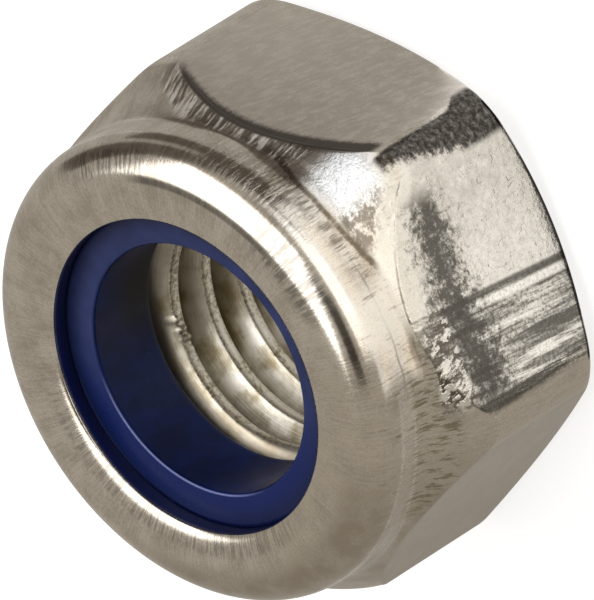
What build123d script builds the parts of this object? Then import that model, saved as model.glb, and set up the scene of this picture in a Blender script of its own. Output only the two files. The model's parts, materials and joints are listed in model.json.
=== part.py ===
from build123d import *
from math import cos, radians, sin, tan
import os

# Prevailing torque hex nut, size M8, with a nylon ring held in a collar that is rolled in over it.
# Millimetres, +Z up. The nut stands on its flat bearing face, the origin is the centre of that face
# and the collar with the ring is at the top. The tapped hole is bored to the thread's minor diameter.

# Hexagon
across_flats = 13.0
flat_count = 6
corner_radius = 1.5
bearing_face_inset = 0.5
bearing_chamfer_angle = 30.0
bearing_edge_round = 0.3
turned_allowance = 0.03
shoulder_angle = 60.0
shoulder_dome_radius = 2.5
shoulder_edge_round = 0.35

# Tapped hole
thread_diameter = 8.0
thread_pitch = 1.25
minor_diameter_factor = 1.0825
mouth_allowance = 0.6
mouth_slope_angle = 30.0
entry_allowance = 0.2

# Collar, rolled over the nylon ring
nut_height = 8.0
collar_height = 1.8
collar_step = 0.15
collar_wall = 1.15
rim_round = 1.0
lip_overhang = 0.92
lip_roll_depth = 0.2
lip_edge_height = 0.7
clinch_rise = 0.35

# Nylon ring
ring_recess = 0.67
ring_height = 2.2
ring_bite = 1.2
ring_edge_round = 0.12
ring_foot_chamfer = 0.15

# Radii, from the axis outwards
minor_radius = (thread_diameter - minor_diameter_factor * thread_pitch) / 2
mouth_radius = (thread_diameter + mouth_allowance) / 2
entry_radius = (thread_diameter + entry_allowance) / 2
ring_bore_radius = (thread_diameter - ring_bite) / 2
bearing_face_radius = across_flats / 2 - bearing_face_inset
collar_radius = across_flats / 2 - collar_step
pocket_radius = collar_radius - collar_wall
lip_radius = pocket_radius - lip_overhang
crest_radius = collar_radius - rim_round

# Heights, from the bearing face up
mouth_depth = (mouth_radius - minor_radius) * tan(radians(mouth_slope_angle))
shoulder_top = nut_height - collar_height
ring_face = nut_height - ring_recess
ring_foot = ring_face - ring_height
thread_top = ring_foot - (entry_radius - minor_radius) * tan(radians(mouth_slope_angle))
lip_edge_top = nut_height - lip_roll_depth
lip_edge_bottom = lip_edge_top - lip_edge_height
clinch_height = lip_edge_bottom - clinch_rise
rim_side_top = nut_height - rim_round

# The turned outline: the bearing chamfer, then a dome that runs over the hexagon's corners into a
# cone. The cone runs on inside the collar, so that the shoulder meets the collar in a clean circle.
half_corner_angle = 180 / flat_count
corner_stretch = 1 / cos(radians(half_corner_angle))
corner_distance = across_flats / 2 * corner_stretch - corner_radius * (corner_stretch - 1)
turned_radius = corner_distance + turned_allowance
bearing_chamfer_top = (turned_radius - bearing_face_radius) * tan(radians(bearing_chamfer_angle))
dome_sweep = 90 - shoulder_angle
dome_centre_radius = turned_radius - shoulder_dome_radius
dome_top_radius = dome_centre_radius + shoulder_dome_radius * cos(radians(dome_sweep))
dome_top = shoulder_top - (dome_top_radius - collar_radius) * tan(radians(shoulder_angle))
dome_foot = dome_top - shoulder_dome_radius * sin(radians(dome_sweep))
cone_rise = collar_height / 2
cone_top = shoulder_top + cone_rise
cone_top_radius = collar_radius - cone_rise / tan(radians(shoulder_angle))
mid_height = shoulder_top / 2

with BuildPart() as nut_body:
    # Hexagonal bar with rounded corners
    with BuildSketch():
        RegularPolygon(
            radius=across_flats / 2,
            side_count=flat_count,
            major_radius=False,
            rotation=half_corner_angle,
        )
    extrude(amount=cone_top)
    fillet(nut_body.edges().filter_by(Axis.Z), radius=corner_radius)

    # Both ends turned: the chamfer around the bearing face, and the domed shoulder
    with BuildSketch(Plane.XZ):
        with BuildLine():
            Line((0, 0), (bearing_face_radius, 0))
            Line((bearing_face_radius, 0), (turned_radius, bearing_chamfer_top))
            Line((turned_radius, bearing_chamfer_top), (turned_radius, dome_foot))
            CenterArc((dome_centre_radius, dome_foot), shoulder_dome_radius, 0, dome_sweep)
            Line((dome_top_radius, dome_top), (cone_top_radius, cone_top))
            Line((cone_top_radius, cone_top), (0, cone_top))
            Line((0, cone_top), (0, 0))
        make_face()
    revolve(axis=Axis.Z, mode=Mode.INTERSECT)
    curved_edges = nut_body.edges().filter_by(GeomType.LINE, reverse=True)
    turned_edges = curved_edges.filter_by(GeomType.CIRCLE, reverse=True)
    fillet(turned_edges.filter_by(lambda edge: edge.center().Z > mid_height), radius=shoulder_edge_round)
    fillet(turned_edges.filter_by(lambda edge: edge.center().Z < mid_height), radius=bearing_edge_round)

    # Collar with its rolled rim: a round outer shoulder, a crest, and an oval roll down to the lip
    with BuildSketch(Plane.XZ):
        with BuildLine():
            Line((0, mid_height), (collar_radius, mid_height))
            Line((collar_radius, mid_height), (collar_radius, rim_side_top))
            CenterArc((crest_radius, rim_side_top), rim_round, 0, 90)
            EllipticalCenterArc(
                (crest_radius, lip_edge_top),
                crest_radius - lip_radius,
                lip_roll_depth,
                start_angle=90,
                arc_size=90,
            )
            Line((lip_radius, lip_edge_top), (0, lip_edge_top))
            Line((0, lip_edge_top), (0, mid_height))
        make_face()
    revolve(axis=Axis.Z)

    # Tapped hole with a wide mouth, and the pocket that the lip closes over the ring
    with BuildSketch(Plane.XZ):
        Polygon(
            (0, 0),
            (mouth_radius, 0),
            (minor_radius, mouth_depth),
            (minor_radius, thread_top),
            (entry_radius, ring_foot),
            (pocket_radius, ring_foot),
            (pocket_radius, clinch_height),
            (lip_radius, lip_edge_bottom),
            (lip_radius, nut_height),
            (0, nut_height),
            align=None,
        )
    revolve(axis=Axis.Z, mode=Mode.SUBTRACT)

with BuildPart() as nylon_insert:
    # Ring that fills the pocket, pressed to the slope of the lip at its outer corner
    with BuildSketch(Plane.XZ):
        Polygon(
            (ring_bore_radius, ring_foot),
            (pocket_radius, ring_foot),
            (pocket_radius, clinch_height),
            (lip_radius, lip_edge_bottom),
            (lip_radius, ring_face),
            (ring_bore_radius, ring_face),
            align=None,
        )
    revolve(axis=Axis.Z)
    bore_edges = nylon_insert.edges().filter_by(GeomType.CIRCLE).sort_by(SortBy.RADIUS)[:2]
    fillet(bore_edges.sort_by(Axis.Z)[-1], radius=ring_edge_round)
    chamfer(bore_edges.sort_by(Axis.Z)[0], length=ring_foot_chamfer)

os.makedirs("parts", exist_ok=True)

nut_body.part.label = "nut_body"
export_step(nut_body.part, "parts/nut_body.step")

nylon_insert.part.label = "nylon_insert"
export_step(nylon_insert.part, "parts/nylon_insert.step")
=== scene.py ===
import bpy
import json
from math import cos, pi, radians, sin, sqrt, tan
from mathutils import Matrix, Vector


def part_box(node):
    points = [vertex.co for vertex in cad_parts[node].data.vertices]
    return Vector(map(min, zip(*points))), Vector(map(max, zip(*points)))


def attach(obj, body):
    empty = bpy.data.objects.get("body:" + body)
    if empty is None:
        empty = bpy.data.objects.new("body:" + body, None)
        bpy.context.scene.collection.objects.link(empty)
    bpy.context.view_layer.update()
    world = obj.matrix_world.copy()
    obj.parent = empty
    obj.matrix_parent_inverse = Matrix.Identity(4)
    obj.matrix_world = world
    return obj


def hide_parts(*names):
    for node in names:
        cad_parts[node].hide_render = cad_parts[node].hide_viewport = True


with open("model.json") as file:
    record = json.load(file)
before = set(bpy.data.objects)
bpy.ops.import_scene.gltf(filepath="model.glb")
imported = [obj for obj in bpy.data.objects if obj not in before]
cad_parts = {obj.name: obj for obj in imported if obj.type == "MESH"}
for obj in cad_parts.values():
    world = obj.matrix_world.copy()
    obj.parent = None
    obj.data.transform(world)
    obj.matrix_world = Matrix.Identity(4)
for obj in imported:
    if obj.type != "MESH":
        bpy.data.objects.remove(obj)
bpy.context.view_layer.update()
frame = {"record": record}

# Sizes are in millimetres in the row's frame: +Z runs along the thread, the bearing face is at zero,
# and azimuth is the angle about +Z from +X, which is square to one flat of the hexagon.
MM = 0.001

# ---------------------------------------------------------------- sizes that the frame gives
_, nut_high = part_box("nut_body")
ring_low, ring_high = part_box("nylon_insert")
mounts = {mount["name"]: mount for mount in frame["record"]["mounts"]}

FLAT_DISTANCE = nut_high.x / MM
CORNER_DISTANCE = nut_high.y / MM
NUT_HEIGHT = nut_high.z / MM
RING_RADIUS = ring_high.x / MM
RING_FOOT = ring_low.z / MM
RING_FACE = ring_high.z / MM
MINOR_RADIUS = mounts["tapped_hole"]["dims"]["r_mm"]
RING_BORE_RADIUS = mounts["insert_bore"]["dims"]["r_mm"]

# ---------------------------------------------------------------- the nut's other sizes
BEARING_RADIUS = 6.0
BEARING_SLOPE = radians(30)
BEARING_ROUND = 0.3
TURNED_RADIUS = CORNER_DISTANCE + 0.03
COLLAR_RADIUS = 6.35
SHOULDER_TOP = 6.2
SHOULDER_SLOPE = radians(60)
SHOULDER_ROUND = 0.35
DOME_RADIUS = 2.5
RIM_ROUND = 1.0
LIP_RADIUS = 4.28
LIP_TOP = NUT_HEIGHT - 0.2
LIP_BOTTOM = LIP_TOP - 0.7
CLINCH_HEIGHT = LIP_BOTTOM - 0.35
MOUTH_RADIUS = 4.3
ENTRY_RADIUS = 4.1
MOUTH_SLOPE = radians(30)
EDGE_ROUND = 0.1
VALLEY_ROUND = 1.3
VALLEY_SHARE = 0.9
RING_FOOT_ROUND = 0.12
RING_FACE_ROUND = 0.07

DOME_CENTRE_RADIUS = TURNED_RADIUS - DOME_RADIUS
DOME_TOP_RADIUS = DOME_CENTRE_RADIUS + DOME_RADIUS * sin(SHOULDER_SLOPE)
DOME_TOP = SHOULDER_TOP - (DOME_TOP_RADIUS - COLLAR_RADIUS) * tan(SHOULDER_SLOPE)
DOME_FOOT = DOME_TOP - DOME_RADIUS * cos(SHOULDER_SLOPE)

# ---------------------------------------------------------------- thread, M8 x 1.25, right-handed
PITCH = 1.25
MAJOR_RADIUS = 4.0
CREST_WIDTH = PITCH / 4
ROOT_WIDTH = PITCH / 8
CREST_EDGE = CREST_WIDTH / 2
ROOT_EDGE = (PITCH - ROOT_WIDTH) / 2
CREST_HEIGHT_AT_ZERO = 0.2

# The burr is a row of small lumps: azimuth in degrees, height, and how far each stands in.
BURR_LUMPS = ((112.0, 4.44, 0.10), (117.0, 4.36, 0.16), (121.5, 4.30, 0.13), (127.0, 4.36, 0.06))
BURR_HALF_TURN = radians(2.2)
BURR_HALF_HEIGHT = 0.16

TURN = 2 * pi
FLAT_COUNT = 6

# ---------------------------------------------------------------- steps of the meshes
NUT_COLUMNS = 576
RING_COLUMNS = 288
EDGE_STEPS = 3
ROUND_STEPS = 7
RIM_STEPS = 18
ROLL_STEPS = 22
SHORT_ROWS = 4
SLOPE_ROWS = 8
SIDE_ROWS = 14
RING_FOOT_STEPS = 4
RING_FACE_STEPS = 6
RING_FACE_ROWS = 10
RING_BORE_ROWS = 20
CREST_SOFTNESS = 0.02


# ================================================================ outlines
def hexagon_reach(azimuth):
    """Distance from the axis to the side of the rounded hexagon."""
    half = pi / FLAT_COUNT
    corner_round = (FLAT_DISTANCE / cos(half) - CORNER_DISTANCE) / (1 / cos(half) - 1)
    arc_centre = CORNER_DISTANCE - corner_round
    off_flat = abs((azimuth + half) % (2 * half) - half)
    if FLAT_DISTANCE * tan(off_flat) <= arc_centre * sin(half):
        return FLAT_DISTANCE / cos(off_flat)
    off_corner = half - off_flat
    return arc_centre * cos(off_corner) + sqrt(corner_round**2 - (arc_centre * sin(off_corner)) ** 2)


def arc(centre, half_axes, start, end, steps):
    """Points of an oval arc, angles in degrees."""
    angles = [radians(start + (end - start) * step / steps) for step in range(steps + 1)]
    return [(centre[0] + half_axes[0] * cos(a), centre[1] + half_axes[1] * sin(a)) for a in angles]


def rounded(before, corner, after, radius, steps):
    """Points of the round that replaces a corner between two straight lines."""
    before, corner, after = Vector(before), Vector(corner), Vector(after)
    inward = (before - corner).normalized()
    outward = (after - corner).normalized()
    half_angle = inward.angle(outward) / 2
    centre = corner + (inward + outward).normalized() * radius / sin(half_angle)
    first = corner + inward * radius / tan(half_angle) - centre
    last = corner + outward * radius / tan(half_angle) - centre
    sweep = first.angle(last)
    points = []
    for step in range(steps + 1):
        share = step / steps
        blend = (first * sin((1 - share) * sweep) + last * sin(share * sweep)) / sin(sweep)
        points.append(tuple(centre + blend))
    return points


def straight(start, end, steps):
    """Points inside a straight stretch, without its two ends."""
    return [
        tuple(a + (b - a) * step / steps for a, b in zip(start, end))
        for step in range(1, steps)
    ]


def joined(*stretches):
    """One outline from several stretches of points."""
    return [point for stretch in stretches for point in stretch]


def shoulder_height(radius):
    """Height of the turned shoulder: a cone beside the collar, a dome over the corners."""
    if radius < DOME_TOP_RADIUS:
        return SHOULDER_TOP - (radius - COLLAR_RADIUS) * tan(SHOULDER_SLOPE)
    return DOME_FOOT + sqrt(DOME_RADIUS**2 - (radius - DOME_CENTRE_RADIUS) ** 2)


def body_outline(azimuth):
    """Section of the nut from the thread's mouth round the outside to the seat of the ring."""
    reach = hexagon_reach(azimuth)
    mouth = (MOUTH_RADIUS, 0)
    face_edge = (BEARING_RADIUS, 0)
    side_foot = (reach, (reach - BEARING_RADIUS) * tan(BEARING_SLOPE))
    side_top = (reach, shoulder_height(reach))
    inside_top = (reach - EDGE_ROUND, shoulder_height(reach - EDGE_ROUND))
    valley = (COLLAR_RADIUS, SHOULDER_TOP)
    above_corner = (COLLAR_RADIUS + EDGE_ROUND, shoulder_height(COLLAR_RADIUS + EDGE_ROUND))
    rim = (COLLAR_RADIUS, NUT_HEIGHT - RIM_ROUND)
    crest_radius = COLLAR_RADIUS - RIM_ROUND

    # A round takes this much of the slope for each millimetre of its radius. In the middle of a
    # flat the slope is short, so the round in the valley is made smaller there.
    taken = tan((pi / 2 - SHOULDER_SLOPE) / 2)
    room = (reach - COLLAR_RADIUS) / cos(SHOULDER_SLOPE) - SHOULDER_ROUND * taken
    valley_radius = min(VALLEY_ROUND, VALLEY_SHARE * room / taken)

    face_round = rounded(mouth, face_edge, side_foot, EDGE_ROUND, EDGE_STEPS)
    foot_round = rounded(face_edge, side_foot, side_top, BEARING_ROUND, ROUND_STEPS)
    top_round = rounded(side_foot, side_top, inside_top, SHOULDER_ROUND, ROUND_STEPS)
    valley_round = rounded(above_corner, valley, rim, valley_radius, ROUND_STEPS)
    slope_start, slope_end = top_round[-1][0], valley_round[0][0]
    slope = [slope_start + (slope_end - slope_start) * step / SLOPE_ROWS for step in range(1, SLOPE_ROWS)]
    rim_arc = arc((crest_radius, rim[1]), (RIM_ROUND, RIM_ROUND), 0, 90, RIM_STEPS)
    roll_size = (crest_radius - LIP_RADIUS, NUT_HEIGHT - LIP_TOP)
    roll_arc = arc((crest_radius, LIP_TOP), roll_size, 90, 180, ROLL_STEPS)
    return joined(
        [mouth],
        straight(mouth, face_round[0], SHORT_ROWS),
        face_round,
        straight(face_round[-1], foot_round[0], SHORT_ROWS),
        foot_round,
        straight(foot_round[-1], top_round[0], SIDE_ROWS),
        top_round,
        [(radius, shoulder_height(radius)) for radius in slope],
        valley_round,
        straight(valley_round[-1], rim, SHORT_ROWS),
        rim_arc,
        roll_arc[1:],
        straight(roll_arc[-1], (LIP_RADIUS, LIP_BOTTOM), SHORT_ROWS),
        [(LIP_RADIUS, LIP_BOTTOM), (RING_RADIUS, CLINCH_HEIGHT), (RING_RADIUS, RING_FOOT)],
    )


def thread_radius(height):
    """Radius of the thread's surface, by height above the middle of the nearest crest."""
    off_crest = abs((height + PITCH / 2) % PITCH - PITCH / 2)
    share = min(max((off_crest - CREST_EDGE) / (ROOT_EDGE - CREST_EDGE), 0), 1)
    return MINOR_RADIUS + (MAJOR_RADIUS - MINOR_RADIUS) * share


def thread_offsets():
    """Heights above a crest's middle at which the thread is sampled, for one pitch."""
    soft = CREST_SOFTNESS
    half = [0, CREST_EDGE - soft, CREST_EDGE + soft]
    half += [CREST_EDGE + (ROOT_EDGE - CREST_EDGE) * share for share in (0.25, 0.5, 0.75)]
    half += [ROOT_EDGE - soft, ROOT_EDGE + soft / 2]
    return half + [PITCH - offset for offset in reversed(half[1:])]


def burr(azimuth, height):
    """How far the torn start of the thread stands in from its first crest."""
    total = 0.0
    for lump_azimuth, lump_height, reach in BURR_LUMPS:
        off_turn = (azimuth - radians(lump_azimuth)) / BURR_HALF_TURN
        off_height = (height - lump_height) / BURR_HALF_HEIGHT
        total += reach * max(0.0, 1 - off_turn**2 - off_height**2)
    return total


def hole_radius(azimuth, height):
    """Radius of the tapped hole at a place: the thread, a countersink at each end, and the burr."""
    radius = max(
        thread_radius(height - PITCH * azimuth / TURN - CREST_HEIGHT_AT_ZERO),
        MOUTH_RADIUS - height / tan(MOUTH_SLOPE),
        ENTRY_RADIUS - (RING_FOOT - height) / tan(MOUTH_SLOPE),
    )
    return radius - burr(azimuth, height)


# ================================================================ meshes
def mesh_of(name, points, faces):
    """A mesh of points given in millimetres."""
    mesh = bpy.data.meshes.new(name)
    mesh.from_pydata([Vector(point) * MM for point in points], [], faces)
    return mesh


def placed(name, data):
    """A new object in the scene, made of a mesh, a lamp or a camera."""
    thing = bpy.data.objects.new(name, data)
    bpy.context.scene.collection.objects.link(thing)
    return thing


def new_piece(name, points, faces, slot, node):
    """A smooth piece that stands for one node of the frame."""
    mesh = mesh_of(name, points, faces)
    mesh.validate()
    mesh.shade_smooth()
    piece = placed(name, mesh)
    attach(piece, "root")
    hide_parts(node)
    return piece


def turned(azimuth, radius, height):
    """Point at a radius and a height, turned to an azimuth in radians."""
    return (radius * cos(azimuth), radius * sin(azimuth), height)


def thread_columns(points, azimuths, mouth, seat):
    """Adds the thread's points. Each column lists its point numbers from the bottom up: outside the
    hole they are the mouth's and the seat's own points."""
    offsets = thread_offsets()
    laps = int(RING_FOOT / PITCH) + 3
    columns = []
    for azimuth, below, above in zip(azimuths, mouth, seat):
        start = PITCH * azimuth / TURN + CREST_HEIGHT_AT_ZERO - 2 * PITCH
        column = []
        for height in [start + lap * PITCH + offset for lap in range(laps) for offset in offsets]:
            if height <= 0:
                column.append(below)
            elif height >= RING_FOOT:
                column.append(above)
            else:
                column.append(len(points))
                points.append(turned(azimuth, hole_radius(azimuth, height), height))
        columns.append(column)
    return columns


def nut_mesh():
    """Closed mesh of the nut: rows of the outside, then the helical rows of the thread."""
    azimuths = [TURN * i / NUT_COLUMNS for i in range(NUT_COLUMNS)]
    outlines = [body_outline(azimuth) for azimuth in azimuths]
    rows = len(outlines[0])
    points = [
        turned(azimuth, radius, height)
        for azimuth, outline in zip(azimuths, outlines)
        for radius, height in outline
    ]
    onward = [(i + 1) % NUT_COLUMNS for i in range(NUT_COLUMNS)]
    mouth = [i * rows for i in range(NUT_COLUMNS)]
    faces = [
        (mouth[i] + row, mouth[onward[i]] + row, mouth[onward[i]] + row + 1, mouth[i] + row + 1)
        for i in range(NUT_COLUMNS)
        for row in range(rows - 1)
    ]
    pocket = [first + rows - 1 for first in mouth]
    seat = [len(points) + i for i in range(NUT_COLUMNS)]
    points += [turned(azimuth, ENTRY_RADIUS, RING_FOOT) for azimuth in azimuths]

    columns = thread_columns(points, azimuths, mouth, seat)
    for i, here in enumerate(columns):
        faces.append((pocket[i], pocket[onward[i]], seat[onward[i]], seat[i]))
        there = columns[onward[i]]
        if onward[i] == 0:
            # The thread climbs one pitch in a turn, so the last column meets the first a pitch on.
            there = there[len(thread_offsets()):]
        for row in range(len(there) - 1):
            corners = dict.fromkeys((here[row], here[row + 1], there[row + 1], there[row]))
            if len(corners) > 2:
                faces.append(tuple(corners))
    return points, faces


def ring_outline():
    """Section of the nylon ring, closed, from the foot of its bore round the outside."""
    foot = (RING_BORE_RADIUS, RING_FOOT)
    outer_foot = (RING_RADIUS, RING_FOOT)
    face = (RING_BORE_RADIUS, RING_FACE)
    outer_face = (LIP_RADIUS, RING_FACE)
    foot_round = rounded(face, foot, outer_foot, RING_FOOT_ROUND, RING_FOOT_STEPS)
    face_round = rounded(outer_face, face, foot, RING_FACE_ROUND, RING_FACE_STEPS)
    return joined(
        foot_round,
        straight(foot_round[-1], outer_foot, SHORT_ROWS),
        [outer_foot],
        straight(outer_foot, (RING_RADIUS, CLINCH_HEIGHT), SHORT_ROWS),
        [(RING_RADIUS, CLINCH_HEIGHT), (LIP_RADIUS, LIP_BOTTOM), outer_face],
        straight(outer_face, face_round[0], RING_FACE_ROWS),
        face_round,
        straight(face_round[-1], foot_round[0], RING_BORE_ROWS),
    )


def ring_mesh():
    """Closed mesh of the ring: its section turned once round the axis."""
    outline = ring_outline()
    rows = len(outline)
    azimuths = [TURN * i / RING_COLUMNS for i in range(RING_COLUMNS)]
    points = [turned(azimuth, radius, height) for azimuth in azimuths for radius, height in outline]
    faces = []
    for i in range(RING_COLUMNS):
        here, there = i * rows, (i + 1) % RING_COLUMNS * rows
        for row in range(rows):
            onward = (row + 1) % rows
            faces.append((here + row, there + row, there + onward, here + onward))
    return points, faces


nut = new_piece("steel_nut", *nut_mesh(), "stainless_steel", "nut_body")
ring = new_piece("nylon_ring", *ring_mesh(), "blue_nylon", "nylon_insert")


# ================================================================ finishes
# How far the finest relief stands out, in millimetres.
STEEL_RELIEF = 0.004
NYLON_RELIEF = 0.01


class Field:
    """A number that changes over a surface. Arithmetic on fields adds the Math nodes for it."""

    def __init__(self, finish, socket):
        self.finish = finish
        self.socket = socket

    def maths(self, operation, *values):
        sockets = self.finish.node("ShaderNodeMath", {"operation": operation}, dict(enumerate(values)))
        return Field(self.finish, sockets[0])

    def __add__(self, other):
        return self.maths("ADD", self, other)

    __radd__ = __add__

    def __sub__(self, other):
        return self.maths("SUBTRACT", self, other)

    def __rsub__(self, other):
        return self.maths("SUBTRACT", other, self)

    def __mul__(self, other):
        return self.maths("MULTIPLY", self, other)

    __rmul__ = __mul__

    def __truediv__(self, other):
        return self.maths("DIVIDE", self, other)

    def __pow__(self, power):
        return self.maths("POWER", self, power)

    def __abs__(self):
        return self.maths("ABSOLUTE", self)

    def over(self, low, high):
        """Rises smoothly from 0 at low to 1 at high; falls where low is the larger."""
        settings = {"interpolation_type": "SMOOTHSTEP", "clamp": True}
        values = {"Value": self, "From Min": low, "From Max": high}
        return Field(self.finish, self.finish.node("ShaderNodeMapRange", settings, values)[0])

    def between(self, low, high, soft):
        """One inside the stretch from low to high, with soft ends."""
        return self.over(low - soft, low + soft) * self.over(high + soft, high - soft)


class Finish:
    """A material in the making, with the place on the piece as its fields, in millimetres."""

    def __init__(self, name, **constants):
        self.material = bpy.data.materials.new(name)
        self.material.use_nodes = True
        self.tree = self.material.node_tree
        self.shader = self.tree.nodes["Principled BSDF"]
        for socket, value in constants.items():
            self.shader.inputs[socket.replace("_", " ")].default_value = value
        place = self.node("ShaderNodeTexCoord", {}, {})["Object"]
        parts = self.node("ShaderNodeSeparateXYZ", {}, {0: place})
        self.x, self.y, self.z = (Field(self, part) / MM for part in parts)
        self.radius = (self.x**2 + self.y**2) ** 0.5
        self.east = self.x / self.radius
        self.north = self.y / self.radius

    def toward(self, azimuth, spread, soft):
        """One over a spread of azimuths each side of the given one, in degrees."""
        lean = self.east * cos(radians(azimuth)) + self.north * sin(radians(azimuth))
        return lean.over(cos(radians(spread + soft)), cos(radians(max(spread - soft, 0))))

    def out_at(self, azimuth):
        """Distance from the axis toward an azimuth, in degrees."""
        return self.x * cos(radians(azimuth)) + self.y * sin(radians(azimuth))

    def along_at(self, azimuth):
        """Distance along the flat that faces an azimuth, in degrees, from its middle."""
        return self.y * cos(radians(azimuth)) - self.x * sin(radians(azimuth))

    def node(self, kind, settings, values):
        """Adds a node: settings first, then numbers on its sockets or links to them."""
        node = self.tree.nodes.new(kind)
        for setting, value in settings.items():
            setattr(node, setting, value)
        for socket, value in values.items():
            if isinstance(value, Field):
                value = value.socket
            if isinstance(value, bpy.types.NodeSocket):
                self.tree.links.new(value, node.inputs[socket])
            else:
                node.inputs[socket].default_value = value
        return node.outputs

    def noise(self, place, scale, detail=3.0, roughness=0.5):
        """Cloudy noise from 0 to 1 at a place given by three fields."""
        vector = self.node("ShaderNodeCombineXYZ", {}, dict(enumerate(place)))[0]
        values = {"Vector": vector, "Scale": scale, "Detail": detail, "Roughness": roughness}
        return Field(self, self.node("ShaderNodeTexNoise", {}, values)["Fac"])

    def blend(self, mask, below, above):
        """The colour above laid over the one below where the mask says so."""
        settings = {"data_type": "RGBA", "clamp_factor": True}
        values = {0: mask, 6: self.rgba(below), 7: self.rgba(above)}
        return self.node("ShaderNodeMix", settings, values)[2]

    def layered(self, colour, *layers):
        """Lays tones over a colour in turn, each given with the mask of where it shows."""
        for mask, tone in layers:
            colour = self.blend(mask, colour, tone)
        return colour

    @staticmethod
    def rgba(colour):
        return (*colour, 1.0) if isinstance(colour, tuple) else colour

    def done(self, colour, roughness, height, depth):
        """Feeds the shader; depth is how far the height field stands out, in millimetres."""
        self.tree.links.new(colour, self.shader.inputs["Base Color"])
        self.tree.links.new(roughness.socket, self.shader.inputs["Roughness"])
        relief = self.node("ShaderNodeBump", {}, {"Height": height, "Distance": depth * MM})[0]
        self.tree.links.new(relief, self.shader.inputs["Normal"])
        return self.material


def largest(*fields):
    """The largest of several fields at each place."""
    result = fields[0]
    for field in fields[1:]:
        result = result.maths("MAXIMUM", result, field)
    return result


def near_flat(out, start, full):
    """One at a flat's plane, from the depths below it where the mask starts and where it is full."""
    return out.over(FLAT_DISTANCE - start, FLAT_DISTANCE - full)


def clouds(finish, along, up, scale, detail=3.0, roughness=0.5, layer=0.0):
    """Cloudy noise over a side of the nut; a layer number picks another pattern."""
    return finish.noise((along, up, layer), scale, detail, roughness)


def turned_lines(steel, fineness, length, roughness=0.6, layer=0.0):
    """Fine lines that run up the turned surfaces, from the hexagon over the collar to the lip."""
    wander = (clouds(steel, steel.z, steel.radius, 1.5, layer=layer + 5) - 0.5) * 0.025
    path = (steel.z - steel.radius) / length
    place = ((steel.east + wander) * fineness, (steel.north - wander) * fineness, path)
    return steel.noise(place, 1.0, 4.0, roughness)


# ---------------------------------------------------------------- steel
# Azimuths, in degrees, of the flats that have tones of their own: wear marks, painted shade and painted
# reflections.
FIRST_FLAT = 0
WORN_FLAT = -60
PLAIN_FLAT = -120


class Steel(Finish):
    """The nut's steel, with the zones, patterns and marks that its tones and its relief share."""

    def __init__(self):
        super().__init__("stainless_steel", Metallic=1.0)
        self.find_zones()
        self.make_patterns()
        self.make_marks()

    def find_zones(self):
        """Places on the nut: one where the surface belongs to them, or a distance from them."""
        z, radius = self.z, self.radius
        self.first_out, self.first_along = self.out_at(FIRST_FLAT), self.along_at(FIRST_FLAT)
        self.worn_out, self.worn_along = self.out_at(WORN_FLAT), self.along_at(WORN_FLAT)
        self.plain_out = self.out_at(PLAIN_FLAT)
        any_out = largest(abs(self.first_out), abs(self.worn_out), abs(self.plain_out))
        self.on_flats = near_flat(any_out, 0.03, 0.005)
        self.first_flat = near_flat(self.first_out, 0.05, 0.01)
        self.worn_flat = near_flat(self.worn_out, 0.05, 0.01)
        inside = radius.over(ENTRY_RADIUS + 0.25, ENTRY_RADIUS + 0.1)
        self.in_bore = inside * z.over(RING_FOOT + 0.05, RING_FOOT)
        self.below_edge = SHOULDER_TOP - (radius - COLLAR_RADIUS) * tan(SHOULDER_SLOPE) - z
        below_collar = z.over(SHOULDER_TOP + 0.15, SHOULDER_TOP - 0.05)
        self.on_shoulder = self.below_edge.over(0.16, 0.06) * below_collar
        self.on_collar = z.over(SHOULDER_TOP - 0.05, SHOULDER_TOP + 0.05) * (1 - self.in_bore)

    def make_patterns(self):
        """Patterns without a place of their own, from coarse to fine."""
        x, y, z = self.x, self.y, self.z
        self.mottle = self.noise((x, y, z), 1.4, 4.0, 0.55)
        self.grain = self.noise((x, y, z), 14.0, 6.0, 0.6)
        self.chatter = turned_lines(self, 42, 1.4, 0.65, 4)
        self.cracks = turned_lines(self, 62, 1.0, 0.7, 2)
        self.hair = turned_lines(self, 170, 1.2)
        phase = z * (TURN / PITCH) - y.maths("ARCTAN2", y, x)
        across, beside = phase.maths("COSINE", phase), phase.maths("SINE", phase)
        self.thread_lines = self.noise((across * 8, beside * 8, self.east * 1.2), 4.0, 4.0, 0.6)
        skewed = self.first_along - z * 0.25
        brushed = clouds(self, skewed, z * 0.25 + self.first_along * 0.06, 6.0, 5.0, 0.75, 29)
        uneven = self.mottle * 0.5 + self.grain * 0.4 + (brushed - 0.5) * self.first_flat * 1.3
        self.flat_tone = uneven.over(0.28, 0.75)

    def make_marks(self):
        """Marks with a place of their own, each one where it is strong; some are painted highlights,
        painted shade and painted dark reflections.
        """
        z = self.z
        self.marked, self.marks, self.dark_marks, self.shine = tool_marks(self, self.worn_along)
        self.creases = wrinkles(self, self.worn_along) * (1 - self.marked) * z.between(0.8, 4.9, 0.4)
        # Painted dark reflection: a ragged dark band below the worn flat's shoulder.
        self.flat_dark_reflection = dark_reflection_of_flat(self, self.worn_along)
        beside_first = self.on_shoulder * self.toward(6, 20, 5)
        self.near_first = beside_first * near_flat(self.first_out, 0.42, 0.3)
        chipped = clouds(self, self.worn_along, z * 0.7, 5.5, 3.0, 0.5, 19)
        chip_zone = z.between(4.85, 5.75, 0.08) * self.toward(-72, 10, 3)
        self.chips = chipped.over(0.48, 0.58) * chip_zone
        self.chip_gaps = chipped.between(0.40, 0.47, 0.02) * chip_zone
        # Painted highlight patch on the shoulder.
        self.shoulder_highlight = self.on_shoulder * self.toward(-27, 7, 3)
        collar_side = z.between(6.55, 7.55, 0.2)
        self.band_marks = self.cracks.over(0.5, 0.62) * self.toward(-15, 20, 5) * collar_side
        beside_worn = near_flat(self.worn_out, 0.34, 0.2)
        # Painted highlight on the round beside the worn flat.
        self.flat_edge_highlight = beside_worn * self.below_edge.over(0.6, 0.4) * self.toward(-44, 17, 6)


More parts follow.
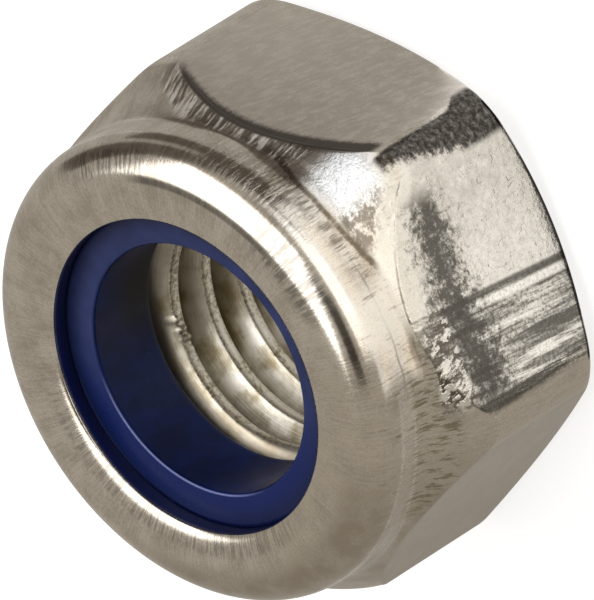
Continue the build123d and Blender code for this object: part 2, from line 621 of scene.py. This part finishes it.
def tool_marks(steel, along):
    """Scrape marks down the worn flat: where they are, their pattern, and its dark and light."""
    across_marks = along - 0.09 * steel.z
    where = across_marks.over(-0.56, -0.64)
    marks = clouds(steel, across_marks, steel.z * 0.06, 3.4, 5.0, 0.7, 7)
    first = across_marks.between(-0.75, -0.58, 0.05) * steel.z.over(4.5, 4.0)
    shine = across_marks.between(-1.02, -0.8, 0.06) * steel.z.over(4.4, 3.6)
    dark = largest(marks.over(0.58, 0.43) * where, first * 0.9)
    light = largest(marks.over(0.56, 0.64) * where, shine)
    worn_end = along.between(-2.8, -2.05, 0.2) * steel.z.between(1.0, 3.2, 0.5) * marks.over(0.66, 0.5)
    return where, marks, largest(dark * (1 - shine), worn_end * 0.8), light


def dark_reflection_of_flat(steel, along):
    """Painted dark reflection: a ragged dark band below the shoulder of the worn flat."""
    middle = 4.38 - abs(along) * 0.06
    half_width = 1.1 - along * 0.03
    drift = clouds(steel, along, steel.z, 1.1) - 0.5
    near = 1 - abs(steel.z - middle + drift) / half_width
    blotches = clouds(steel, along, steel.z, 4.0, 8.0, 0.8, 3)
    ends = along.between(-2.95, 2.6, 0.35)
    return (near + (blotches - 0.5) * 4.5).over(0.0, 0.9) * ends


def wrinkles(steel, along):
    """Short wandering creases, in patches."""
    creases = abs(clouds(steel, along, steel.z * 0.7, 3.4, 2.0, 0.5, 11) - 0.5).over(0.05, 0.0)
    return creases * clouds(steel, along, steel.z, 3.0, 3.0, 0.6, 13).over(0.5, 0.62)


def thread_tones(steel):
    """Cut thread: pale and olive tool lines that follow the helix, the pale tone raised as painted
    reflection, painted shade on one side and in the roots, less on the lit side, and a rough pale crest.
    """
    radius = steel.radius
    tone = (steel.thread_lines * 0.5 + steel.mottle * 0.9).over(0.5, 0.85)
    root = radius.over(3.75, 3.97) * (1 - steel.toward(168, 32, 12) * 0.7)
    crest = radius.over(MINOR_RADIUS + 0.06, MINOR_RADIUS + 0.03)
    rough = steel.noise((steel.x, steel.y, steel.z), 9.0, 4.0, 0.7)
    entry = steel.z.over(RING_FOOT - 0.5, RING_FOOT - 0.42)
    return steel.layered(
        # Pale tone raised as painted reflection.
        steel.blend(tone, (0.36, 0.30, 0.18), (0.97, 0.94, 0.87)),
        # Painted shade on the side of the hole toward 98 degrees.
        (steel.toward(98, 22, 16) * 0.6, (0.24, 0.195, 0.115)),
        # Painted shade in the roots, less on the lit side toward 168 degrees.
        (root * 0.6, (0.17, 0.13, 0.08)),
        (crest * rough.over(0.44, 0.56) * 0.9, (0.82, 0.77, 0.66)),
        (crest * rough.over(0.46, 0.36) * 0.6, (0.24, 0.19, 0.12)),
        (entry * 0.7, (0.42, 0.36, 0.27)),
    )


def flat_tones(steel):
    """Brushed flats: painted shade in a ragged line under the shoulder of the first, and painted shade
    over the plain one.
    """
    along = steel.first_along
    ragged = (steel.grain - 0.5) * 0.25 + (steel.cracks - 0.5) * 0.2
    shade_foot = steel.below_edge + ragged + along * 0.06
    shade_line = shade_foot.between(-0.4, 0.38, 0.13) * along.between(-3.4, 2.9, 0.3)
    return steel.layered(
        steel.blend(steel.flat_tone, (0.545, 0.50, 0.46), (0.71, 0.665, 0.62)),
        (steel.first_flat * along.over(-1.5, 3.0) * 0.3, (0.84, 0.79, 0.73)),
        # Painted shade in a ragged line under the first flat's shoulder.
        (shade_line * steel.first_flat * 0.93, (0.07, 0.062, 0.052)),
        # Painted shade over the plain flat.
        (near_flat(steel.plain_out, 0.05, 0.01) * 0.5, (0.38, 0.355, 0.32)),
    )


def worn_flat_marks_and_light(steel):
    """Flat with creases and scrape marks, painted paler as a reflection of the bright side, and with a
    painted dark reflection below its shoulder.
    """
    along, z = steel.worn_along, steel.z
    upper_shade = along.over(0.0, 2.4) * clouds(steel, along, z, 2.2, 5.0, 0.7, 35).over(0.25, 0.6)
    blotches = clouds(steel, along, z, 6.0, 6.0, 0.8, 15).over(0.42, 0.68)
    speckle = clouds(steel, along, z, 9.0, 4.0, 0.7, 9).over(0.4, 0.62)
    side_edge = (along + (steel.grain - 0.5) * 0.1).between(-2.98, -2.84, 0.05) * z.between(0.9, 5.0, 0.1)
    return steel.layered(
        # Pale tone painted in as a reflection of the bright side.
        steel.blend(steel.flat_tone, (0.70, 0.665, 0.60), (0.84, 0.80, 0.73)),
        (upper_shade * 0.42, (0.36, 0.33, 0.28)),
        (blotches * 0.55, (0.36, 0.33, 0.29)),
        (steel.creases * 0.3, (0.36, 0.33, 0.29)),
        (steel.marked * (1 - steel.shine) * speckle * 0.85, (0.18, 0.165, 0.14)),
        (largest(steel.dark_marks, side_edge) * 0.9, (0.085, 0.078, 0.065)),
        (steel.shine * speckle.over(0.0, 0.8), (0.86, 0.83, 0.77)),
        # Painted dark reflection below the shoulder.
        (steel.flat_dark_reflection * 0.95, (0.07, 0.064, 0.054)),
    )


def collar_tones(steel):
    """Collar and shoulder: streaked grey, then everything that marks them, with painted shade, painted
    highlights and painted reflections.
    """
    streaked = (steel.hair * 0.5 + steel.mottle * 0.55 + steel.grain * 0.35).over(0.5, 0.88)
    colour = steel.blend(streaked, (0.46, 0.415, 0.36), (0.70, 0.66, 0.60))
    for more in (collar_foot, shaded_sides, shoulder_marks, crest_marks):
        colour = more(steel, colour)
    return colour


def collar_foot(steel, colour):
    """Brown line in the foot of the collar, and thin cracks up its side."""
    z, cracks, chatter = steel.z, steel.cracks, steel.chatter
    wobble = (clouds(steel, steel.east * 9, steel.north * 9, 1.0, 4.0, 0.6, 1) - 0.5) * 0.3
    foot = z - steel.toward(-29, 9, 9) * 0.26
    line = (foot + wobble * 0.6 + (cracks - 0.5) * 0.15).between(6.03, 6.2, 0.05)
    broken_line = line * steel.toward(-38, 32, 6) * (chatter.over(0.3, 0.55) * 0.4 + 0.6)
    thin_line = (z + wobble * 0.5).between(6.62, 6.68, 0.03) * steel.toward(-58, 13, 5)
    cracked_side = cracks.over(0.42, 0.34) * steel.on_collar * z.between(6.3, 7.6, 0.2)
    cracked = cracked_side * steel.toward(-60, 44, 8)
    streaked = chatter.over(0.5, 0.38) * foot.between(6.2, 6.65, 0.15) * steel.toward(-30, 20, 6)
    brown = largest(broken_line, thin_line * 0.8, cracked * 0.8, streaked * 0.8)
    return steel.blend(brown * 0.9, colour, (0.12, 0.092, 0.06))


def shaded_sides(steel, colour):
    """Painted shade on two sides of the collar: a tan side, and a darker low side broken by streaks."""
    tan_side = steel.toward(-105, 42, 16) * steel.mottle.over(0.3, 0.65)
    dull_streaks = (steel.mottle + steel.hair * 0.4).over(0.4, 0.85)
    low_side = steel.toward(-142, 44, 14) * steel.radius.over(5.0, 5.7) * dull_streaks
    return steel.layered(
        colour,
        # Painted shade on the side toward -105 degrees and, darker, on the low side toward -142 degrees.
        (tan_side * 0.4, (0.50, 0.43, 0.33)),
        (low_side * 0.8, (0.33, 0.285, 0.23)),
    )


def shoulder_marks(steel, colour):
    """Short dark and light marks where the shoulder meets the flats and corners, painted shade beside the
    first flat, a painted highlight on the crest and a painted highlight patch.
    """
    z, on_shoulder, chatter = steel.z, steel.on_shoulder, steel.chatter
    along_first = steel.first_along.between(-3.0, 1.4, 0.6)
    # Painted shade on the shoulder beside the first flat.
    beside_first = near_flat(steel.first_out, 0.34, 0.2) * on_shoulder * along_first
    dashes = turned_lines(steel, 70, 0.8, 0.6, 8)
    corner_marks = dashes.over(0.50, 0.40) * z.between(5.3, 6.55, 0.2) * steel.toward(-88, 22, 5)
    blotches = clouds(steel, steel.y, z, 3.2, 6.0, 0.8, 6).over(0.40, 0.54)
    patches = on_shoulder * steel.toward(-37, 5, 2.5) * blotches
    dark = largest(steel.near_first * chatter.over(0.52, 0.45), patches, steel.chip_gaps)
    light = largest(steel.near_first * chatter.over(0.53, 0.58), steel.chips)
    # Painted highlight on the collar's crest.
    crest_highlight = steel.toward(-42, 13, 7) * steel.radius.over(5.5, 5.7) * z.over(6.9, 7.2)
    return steel.layered(
        colour,
        # Painted shade beside the first flat, broken by the chatter.
        (beside_first * (1.2 - chatter) * 0.5, (0.18, 0.165, 0.145)),
        (corner_marks * 0.75, (0.22, 0.175, 0.105)),
        (dark * 0.85, (0.15, 0.13, 0.105)),
        (light, (0.95, 0.94, 0.91)),
        (steel.band_marks * 0.5, (0.92, 0.88, 0.80)),
        # Painted highlight on the collar's crest.
        (crest_highlight * 0.55, (0.84, 0.80, 0.73)),
        # Painted highlight patch on the shoulder.
        (steel.shoulder_highlight * 0.8 * (1 - dark), (0.84, 0.84, 0.85)),
    )


def crest_marks(steel, colour):
    """Dark marks on the collar's crest and lip, a painted dark reflection line inside the crest's
    highlight, and painted shade with a painted reflection of the ring's blue on the lip's wall.
    """
    radius, z, cracks = steel.radius, steel.z, steel.cracks
    # Painted dark reflection: a thin dark line inside the crest's highlight.
    crest_reflection_line = radius.between(5.38, 5.58, 0.05) * steel.toward(-6, 24, 6) * (cracks + 0.4)
    crest_end = cracks.over(0.56, 0.44) * radius.between(5.55, 6.15, 0.1) * steel.toward(27, 11, 5)
    streaks = steel.chatter.over(0.53, 0.43) * radius.between(5.2, 6.1, 0.15) * steel.toward(-36, 12, 5)
    lip_marks = cracks.over(0.52, 0.42) * radius.over(4.95, 4.75) * steel.toward(175, 55, 20)
    dark = largest(crest_reflection_line * 0.8, crest_end * 0.6, streaks * 0.6, lip_marks * 0.45)
    # Painted shade and painted reflection of the blue ring on the lip's inner wall.
    lip_wall_shade_and_reflection = radius.over(4.36, 4.30) * z.between(7.0, 7.74, 0.04)
    return steel.layered(
        colour,
        # Dark marks on the crest and lip, with the painted dark reflection line among them.
        (dark * z.over(7.5, 7.7), (0.12, 0.11, 0.10)),
        (lip_wall_shade_and_reflection * 0.97, (0.10, 0.13, 0.32)),
    )


def corner_reflection(steel):
    """Painted dark reflection: a ragged dark band down the corner between the first flat and the worn
    one.
    """
    y, z, along = steel.y, steel.z, steel.first_along
    flat_side = (along + (steel.grain - 0.5) * 0.12 - z.over(2.0, 0.6) * 0.7).over(-3.2, -3.3)
    frayed = (clouds(steel, y, z, 4.0, 5.0, 0.75, 21) - 0.5) * 0.8
    far_side = (along + frayed - (z - 3.5) * 0.2).over(-3.95, -3.75)
    band = flat_side * far_side * steel.x.over(0.0, 0.1)
    band = band * steel.below_edge.over(-0.3, 0.1) * steel.radius.over(7.1, 7.18)
    return band * (1 - clouds(steel, y, z, 7.0, 5.0, 0.7, 31).over(0.4, 0.75) * 0.3)


def steel_colour(steel):
    """The steel's tones: collar and shoulder below, then the flats, marks, painted highlights and painted
    dark reflections, hole and fine dust.
    """
    uncracked = 1 - steel.cracks.over(0.44, 0.36) * 0.6
    dust = steel.noise((steel.x, steel.y, steel.z), 34.0, 3.0, 0.7)
    return steel.layered(
        collar_tones(steel),
        (steel.on_flats, flat_tones(steel)),
        (steel.worn_flat, worn_flat_marks_and_light(steel)),
        # Painted highlight on the round beside the worn flat.
        (steel.flat_edge_highlight * (1 - steel.flat_dark_reflection) * uncracked * 0.8, (0.76, 0.73, 0.67)),
        (steel.chip_gaps * 0.85, (0.11, 0.09, 0.07)),
        (steel.chips * 0.85, (0.80, 0.77, 0.71)),
        # Painted dark reflection down the corner between the first and the worn flat.
        (corner_reflection(steel), (0.03, 0.026, 0.022)),
        (steel.in_bore, thread_tones(steel)),
        (dust.over(0.5, 0.7) * (1 - steel.in_bore) * 0.38, (0.20, 0.18, 0.155)),
    )


def steel_roughness(steel):
    """Dull on the flats, on the shoulder and on the far side, glossier on the worn flat."""
    dull_shoulder = steel.on_shoulder * steel.toward(22, 32, 6)
    far_side = steel.toward(145, 95, 20) * steel.z.over(7.2, 6.8)
    turned_part = 0.12 + far_side * 0.16 + steel.hair * 0.1
    with_flats = turned_part + steel.on_flats * 0.25 - steel.worn_flat * 0.15
    return with_flats + steel.in_bore * 0.06 + dull_shoulder * 0.28 + steel.flat_edge_highlight * 0.22


def steel_relief(steel):
    """Fine relief: turned lines and grain all over, then each mark's own."""
    y, z, along = steel.y, steel.z, steel.worn_along
    chip_face = clouds(steel, along, z, 7.0, 3.0, 0.6, 33)
    patch_face = clouds(steel, y, z, 5.0, 4.0, 0.7, 27)
    dents = clouds(steel, along, z, 3.2, 5.0, 0.6, 23) * (1 - steel.marked)
    worn_face = steel.marked * steel.marks * 5.0 + steel.creases * -2.5 + dents * 11.0
    bore_face = steel.thread_lines * 0.8 - steel.hair * 0.22 - steel.cracks * 0.6
    height = steel.hair * 0.22 + steel.cracks * 0.6 + steel.grain * 0.3
    height = height + steel.on_flats * (steel.grain * 0.8)
    height = height + steel.chips * chip_face * 12.0 + steel.shoulder_highlight * patch_face * 4.0
    height = height + steel.worn_flat * worn_face + steel.near_first * steel.chatter * 9.0
    return height + steel.band_marks * 0.8 + steel.in_bore * bore_face


def steel_finish():
    """The nut's material, from its tones, its gloss and its relief."""
    steel = Steel()
    return steel.done(steel_colour(steel), steel_roughness(steel), steel_relief(steel), STEEL_RELIEF)


# ---------------------------------------------------------------- nylon
def ring_bore_tones(nylon):
    """Drawn streaks in the ring's bore, a shaded part and thin pale scratches."""
    east, north, z = nylon.east, nylon.north, nylon.z
    drawn = nylon.noise((east * 3, north * 3, z * 0.5), 1.2, 4.0, 0.6)
    scratches = nylon.noise((east * 6, north * 6, z * 9), 2.0, 5.0, 0.75)
    shaded = nylon.toward(86, 14, 14) * z.over(7.0, 5.7)
    return nylon.layered(
        nylon.blend(drawn.over(0.35, 0.65), (0.001, 0.006, 0.045), (0.001, 0.012, 0.09)),
        (shaded * 0.9, (0.002, 0.002, 0.006)),
        (scratches.over(0.64, 0.7) * 0.5, (0.08, 0.10, 0.26)),
    )


def nylon_finish():
    """Smooth moulded nylon: cloudy blue, with painted shade on one side and by the lip, and a painted
    highlight on the edge round the bore.
    """
    nylon = Finish("blue_nylon", Metallic=0.0, Specular_IOR_Level=0.22)
    x, y, z, radius = nylon.x, nylon.y, nylon.z, nylon.radius
    cloud = nylon.noise((x, y, z), 1.1, 3.0)
    grain = nylon.noise((x, y, z), 22.0, 4.0, 0.6)
    # Painted shade on the side toward 190 degrees.
    nylon_side_shade = nylon.toward(190, 75, 25)
    in_bore = radius.over(RING_BORE_RADIUS + 0.06, RING_BORE_RADIUS + 0.01)
    by_bore = radius.over(RING_BORE_RADIUS + 0.08, RING_BORE_RADIUS + 0.05)
    inner_edge = by_bore * z.over(RING_FACE - 0.09, RING_FACE - 0.06)
    round_of_edge = radius.over(RING_BORE_RADIUS + 0.01, RING_BORE_RADIUS + 0.03)
    # Painted highlight on the round at the bore's edge.
    ring_edge_highlight = inner_edge * round_of_edge * nylon.toward(168, 42, 14)
    colour = nylon.layered(
        nylon.blend(cloud.over(0.3, 0.7), (0.012, 0.020, 0.078), (0.020, 0.030, 0.11)),
        # Painted shade on one side of the ring.
        (nylon_side_shade, (0.001, 0.009, 0.08)),
        # Painted shade of the lip on the ring's face.
        (radius.over(3.6, LIP_RADIUS) * 0.75, (0.003, 0.006, 0.03)),
        (in_bore, ring_bore_tones(nylon)),
        # Painted highlight on the bore's edge.
        (ring_edge_highlight * (grain * 0.8 + 0.3), (0.16, 0.19, 0.42)),
    )
    sheen = largest(nylon_side_shade * (1 - in_bore) * 0.5, in_bore * 0.3, inner_edge)
    roughness = 0.34 + grain * 0.1 - sheen * 0.24
    height = grain * 0.4 * (1 - sheen * 0.7) + cloud * 0.6
    return nylon.done(colour, roughness, height, NYLON_RELIEF)


nut.data.materials.append(steel_finish())
ring.data.materials.append(nylon_finish())


# ================================================================ studio
FLOOR_REACH = 3.0
CARD_RADIUS = 14.0
CARD_LIFT = 0.02
DARK_TONE = (0.14, 0.12, 0.10)


def direction(azimuth, elevation):
    """Direction away from the nut, by two angles in degrees."""
    azimuth, elevation = radians(azimuth), radians(elevation)
    return Vector((cos(elevation) * cos(azimuth), cos(elevation) * sin(azimuth), sin(elevation)))


def softbox(name, azimuth, elevation, distance, width, height, radiance, colour, roll=0.0):
    """Rectangular soft lamp aimed at the nut; angles in degrees, sizes in metres."""
    data = bpy.data.lights.new(name, "AREA")
    data.shape = "RECTANGLE"
    data.size = width
    data.size_y = height
    data.color = colour
    data.energy = radiance * pi * width * height
    lamp = placed(name, data)
    away = direction(azimuth, elevation)
    lamp.location = away * distance + Vector((0, 0, NUT_HEIGHT * MM / 2))
    facing = (-away).to_track_quat("-Z", "Y").to_matrix()
    lamp.rotation_mode = "QUATERNION"
    lamp.rotation_quaternion = (facing @ Matrix.Rotation(radians(roll), 3, "Z")).to_quaternion()
    lamp.visible_camera = False


softbox("key_softbox", 40, 65, 0.4, 0.47, 0.47, 2.3, (1.0, 0.99, 0.97), 45)
softbox("side_softbox", -48, 13, 0.35, 0.34, 0.22, 1.35, (1.0, 0.96, 0.9))


def studio_card(name, points, faces, tone):
    """Card that only shows in what shines, as cards round a glossy thing do in a studio."""
    mesh = mesh_of(name, points, faces)
    card = placed(name, mesh)
    card.visible_camera = False
    card.visible_diffuse = False
    card.visible_shadow = False
    glow = {"Emission_Color": (*tone, 1), "Emission_Strength": 1.0}
    paper = Finish(name, Base_Color=(0, 0, 0, 1), Specular_IOR_Level=0.0, **glow)
    mesh.materials.append(paper.material)


def curved_card(name, start, end, radius, bottom, tops, tone):
    """Card that stands round a part of the nut; angles in degrees, with a sloping top."""
    steps = 24
    points = []
    for step in range(steps + 1):
        azimuth = radians(start + (end - start) * step / steps)
        top = tops[0] + (tops[1] - tops[0]) * step / steps
        points += [turned(azimuth, radius, bottom), turned(azimuth, radius, top)]
    faces = [(2 * i, 2 * i + 2, 2 * i + 3, 2 * i + 1) for i in range(steps)]
    studio_card(name, points, faces, tone)


curved_card("dark_card", -12, 25, CARD_RADIUS, CARD_LIFT, (7.4, 11.3), DARK_TONE)
curved_card("tall_dark_card", 25, 52, CARD_RADIUS, CARD_LIFT, (11.3, 12.0), DARK_TONE)
curved_card("raised_dark_card", 52, 75, CARD_RADIUS, 6.5, (12.0, 12.0), DARK_TONE)
curved_card("grey_strip", 20, 52, CARD_RADIUS - 0.2, 5.0, (6.6, 6.6), (0.44, 0.41, 0.37))
curved_card("grey_card", 52, 276, CARD_RADIUS + 0.3, CARD_LIFT, (8.0, 8.0), (0.50, 0.47, 0.42))
curved_card("cream_card", -82, -22, CARD_RADIUS, CARD_LIFT, (5.5, 5.5), (1.25, 1.17, 1.04))


def floor_card(name, start, end, inner, outer, level, tone):
    """Card that lies on the floor between two edges; each edge gives a radius for an azimuth."""
    steps = 72
    points = []
    for step in range(steps + 1):
        azimuth = radians(start + (end - start) * step / steps)
        points += [turned(azimuth, inner(azimuth), level), turned(azimuth, outer(azimuth), level)]
    faces = [(2 * i, 2 * i + 1, 2 * i + 3, 2 * i + 2) for i in range(steps)]
    studio_card(name, points, faces, tone)


def circle(radius):
    """Edge at the same distance all round."""
    return lambda azimuth: radius


def beside_nut(gap):
    """Edge that follows the hexagon, a gap outside it, or inside it where the gap is negative."""
    return lambda azimuth: hexagon_reach(azimuth) + gap


under_all = circle(1.0), circle(CARD_RADIUS), CARD_LIFT
under_foot = beside_nut(-0.3), beside_nut(0.42), 2 * CARD_LIFT
floor_card("grey_floor_card", -14, 276, *under_all, (0.52, 0.49, 0.44))
floor_card("foot_floor_card", -90, -27, *under_foot, (0.06, 0.055, 0.05))


def hung_card(name, azimuth, elevation, distance, width, height, tone):
    """Flat card hung above the nut and turned to it; angles in degrees, sizes in millimetres."""
    away = direction(azimuth, elevation)
    across = away.cross((0, 0, 1)).normalized() * width / 2
    upward = across.cross(away).normalized() * height / 2
    middle = away * distance
    low_edge = [middle - across - upward, middle + across - upward]
    high_edge = [middle + across + upward, middle - across + upward]
    studio_card(name, low_edge + high_edge, [(0, 1, 2, 3)], tone)


hung_card("high_dark_card", -70, 53, 200, 110, 80, (0.05, 0.04, 0.03))
hung_card("cool_card", -15, 18, 120, 44, 30, (1.6, 1.65, 1.7))


def white_paper():
    """Pale paper that renders white where it is seen, and keeps the nut's shadow."""
    constants = {"Base_Color": (0.4, 0.4, 0.4, 1.0), "Roughness": 0.9, "Specular_IOR_Level": 0.0}
    paper = Finish("white_paper", Emission_Strength=0.75, **constants)
    rays = paper.node("ShaderNodeLightPath", {}, {})
    kinds = ("Is Camera Ray", "Is Glossy Ray", "Is Transmission Ray")
    seen = largest(*(Field(paper, rays[kind]) for kind in kinds))
    glow = paper.blend(seen, (0.0, 0.0, 0.0), (1.0, 1.0, 1.0))
    paper.tree.links.new(glow, paper.shader.inputs["Emission Color"])
    return paper.material


def plain_floor():
    """Large pale floor under the nut."""
    mesh = bpy.data.meshes.new("floor")
    corners = [(-1, -1), (1, -1), (1, 1), (-1, 1)]
    mesh.from_pydata([(x * FLOOR_REACH, y * FLOOR_REACH, 0) for x, y in corners], [], [(0, 1, 2, 3)])
    mesh.materials.append(white_paper())
    floor = placed("floor", mesh)


plain_floor()

world = bpy.data.worlds.new("studio")
world.use_nodes = True
world.node_tree.nodes["Background"].inputs["Color"].default_value = (0.50, 0.465, 0.41, 1)
bpy.context.scene.world = world
bpy.context.scene.view_settings.view_transform = "Standard"

# ================================================================ camera
CAMERA_AZIMUTH = -44.022
CAMERA_ELEVATION = 40.865
CAMERA_ROLL = -122.146
CAMERA_DISTANCE = 497.717
CAMERA_TARGET = Vector((1.0096, -0.7674, 4.4391))
CAMERA_LENS = 1200.0

camera_data = bpy.data.cameras.new("camera")
camera_data.lens = CAMERA_LENS
camera_data.clip_start = 0.01
camera_data.clip_end = 10
camera = placed("camera", camera_data)
backward = direction(CAMERA_AZIMUTH, CAMERA_ELEVATION)
camera.location = (CAMERA_TARGET + backward * CAMERA_DISTANCE) * MM
upright = backward.to_track_quat("Z", "Y").to_matrix().to_4x4()
camera.rotation_mode = "QUATERNION"
camera.rotation_quaternion = (upright @ Matrix.Rotation(radians(CAMERA_ROLL), 4, "Z")).to_quaternion()
bpy.context.scene.camera = camera
